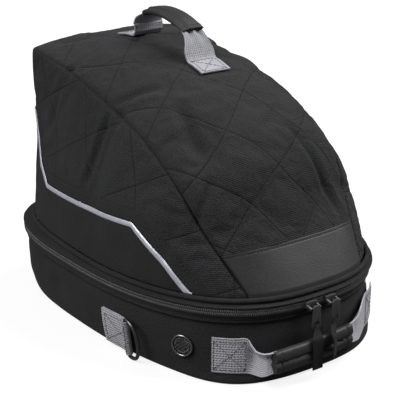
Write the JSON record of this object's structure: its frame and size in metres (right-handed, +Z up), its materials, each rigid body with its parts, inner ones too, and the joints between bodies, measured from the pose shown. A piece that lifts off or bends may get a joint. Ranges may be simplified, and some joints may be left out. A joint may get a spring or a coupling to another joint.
{
  "type": "helmet cooling bag",
  "caption": "Egg-shaped padded helmet bag: a quilted dome lid zipped to a low base, carrying handles on crown and front, strap rings and air vents.",
  "frame": {"origin": "on the underside, at the middle of the plan's length and width", "axes": "+Z up, -Y to the low front with the zip sliders, +X to the bag's left as seen from the front"},
  "size_m": [0.311, 0.455, 0.3277],
  "materials": {
    "black_cloth": "plain-woven black polyester, matt",
    "quilted_cloth": "black polyester weave, padded and stitched in diamonds",
    "coated_cloth": "fine-grained black coated cloth, low sheen",
    "grey_webbing": "ribbed grey webbing, matt",
    "silver_line": "silver reflective piping",
    "black_nylon": "black nylon coil and tape",
    "dark_nickel": "dark nickel plating",
    "black_metal": "black lacquered die casting",
    "vent_mesh": "dark perforated disc"
  },
  "bodies": {
    "bag": {"base_wall": "black_cloth", "base_floor": "black_cloth", "base_roll": "black_cloth", "zip_flap": "black_cloth", "hinge_strip": "black_cloth", "lid_roll": "black_cloth", "skirt_panel": "black_cloth", "border_strip": "black_cloth", "top_panel": "quilted_cloth", "side_panel": "quilted_cloth", "front_patch": "coated_cloth", "front_grip": "coated_cloth", "top_grip": "coated_cloth", "ring_tab_left": "grey_webbing", "ring_tab_right": "grey_webbing", "front_webbing_left": "grey_webbing", "front_webbing_right": "grey_webbing", "top_webbing_back": "grey_webbing", "top_webbing_front": "grey_webbing", "reflective_line": "silver_line", "zip_tape": "black_nylon", "zip_coil": "black_nylon", "vent_rim_left": "dark_nickel", "vent_rim_right": "dark_nickel", "slider_left": "black_metal", "slider_right": "black_metal", "vent_disc_left": "vent_mesh", "vent_disc_right": "vent_mesh"},
    "ring_left": {"strap_ring_left": "dark_nickel"},
    "ring_right": {"strap_ring_right": "dark_nickel"},
    "pull_left": {"pull_tab_left": "black_metal", "ribbon_left": "black_nylon"},
    "pull_right": {"pull_tab_right": "black_metal", "ribbon_right": "black_nylon"}
  },
  "joints": [
    {"name": "ring_left_turn", "type": "hinge", "parent": "bag", "child": "ring_left", "pos_m": [-0.14718, -0.08232, 0.02423], "axis": [0.1419, 0.028, -0.9895], "range_deg": [-8, 150]},
    {"name": "ring_right_turn", "type": "hinge", "parent": "bag", "child": "ring_right", "pos_m": [0.14718, -0.08232, 0.02423], "axis": [0.1419, -0.028, 0.9895], "range_deg": [-8, 150]},
    {"name": "pull_left_swing", "type": "hinge", "parent": "bag", "child": "pull_left", "pos_m": [-0.01506, -0.22047, 0.073], "axis": [-1, 0, 0], "range_deg": [0, 150]},
    {"name": "pull_right_swing", "type": "hinge", "parent": "bag", "child": "pull_right", "pos_m": [0.01072, -0.2206, 0.073], "axis": [-1, 0, 0], "range_deg": [0, 150]}
  ]
}
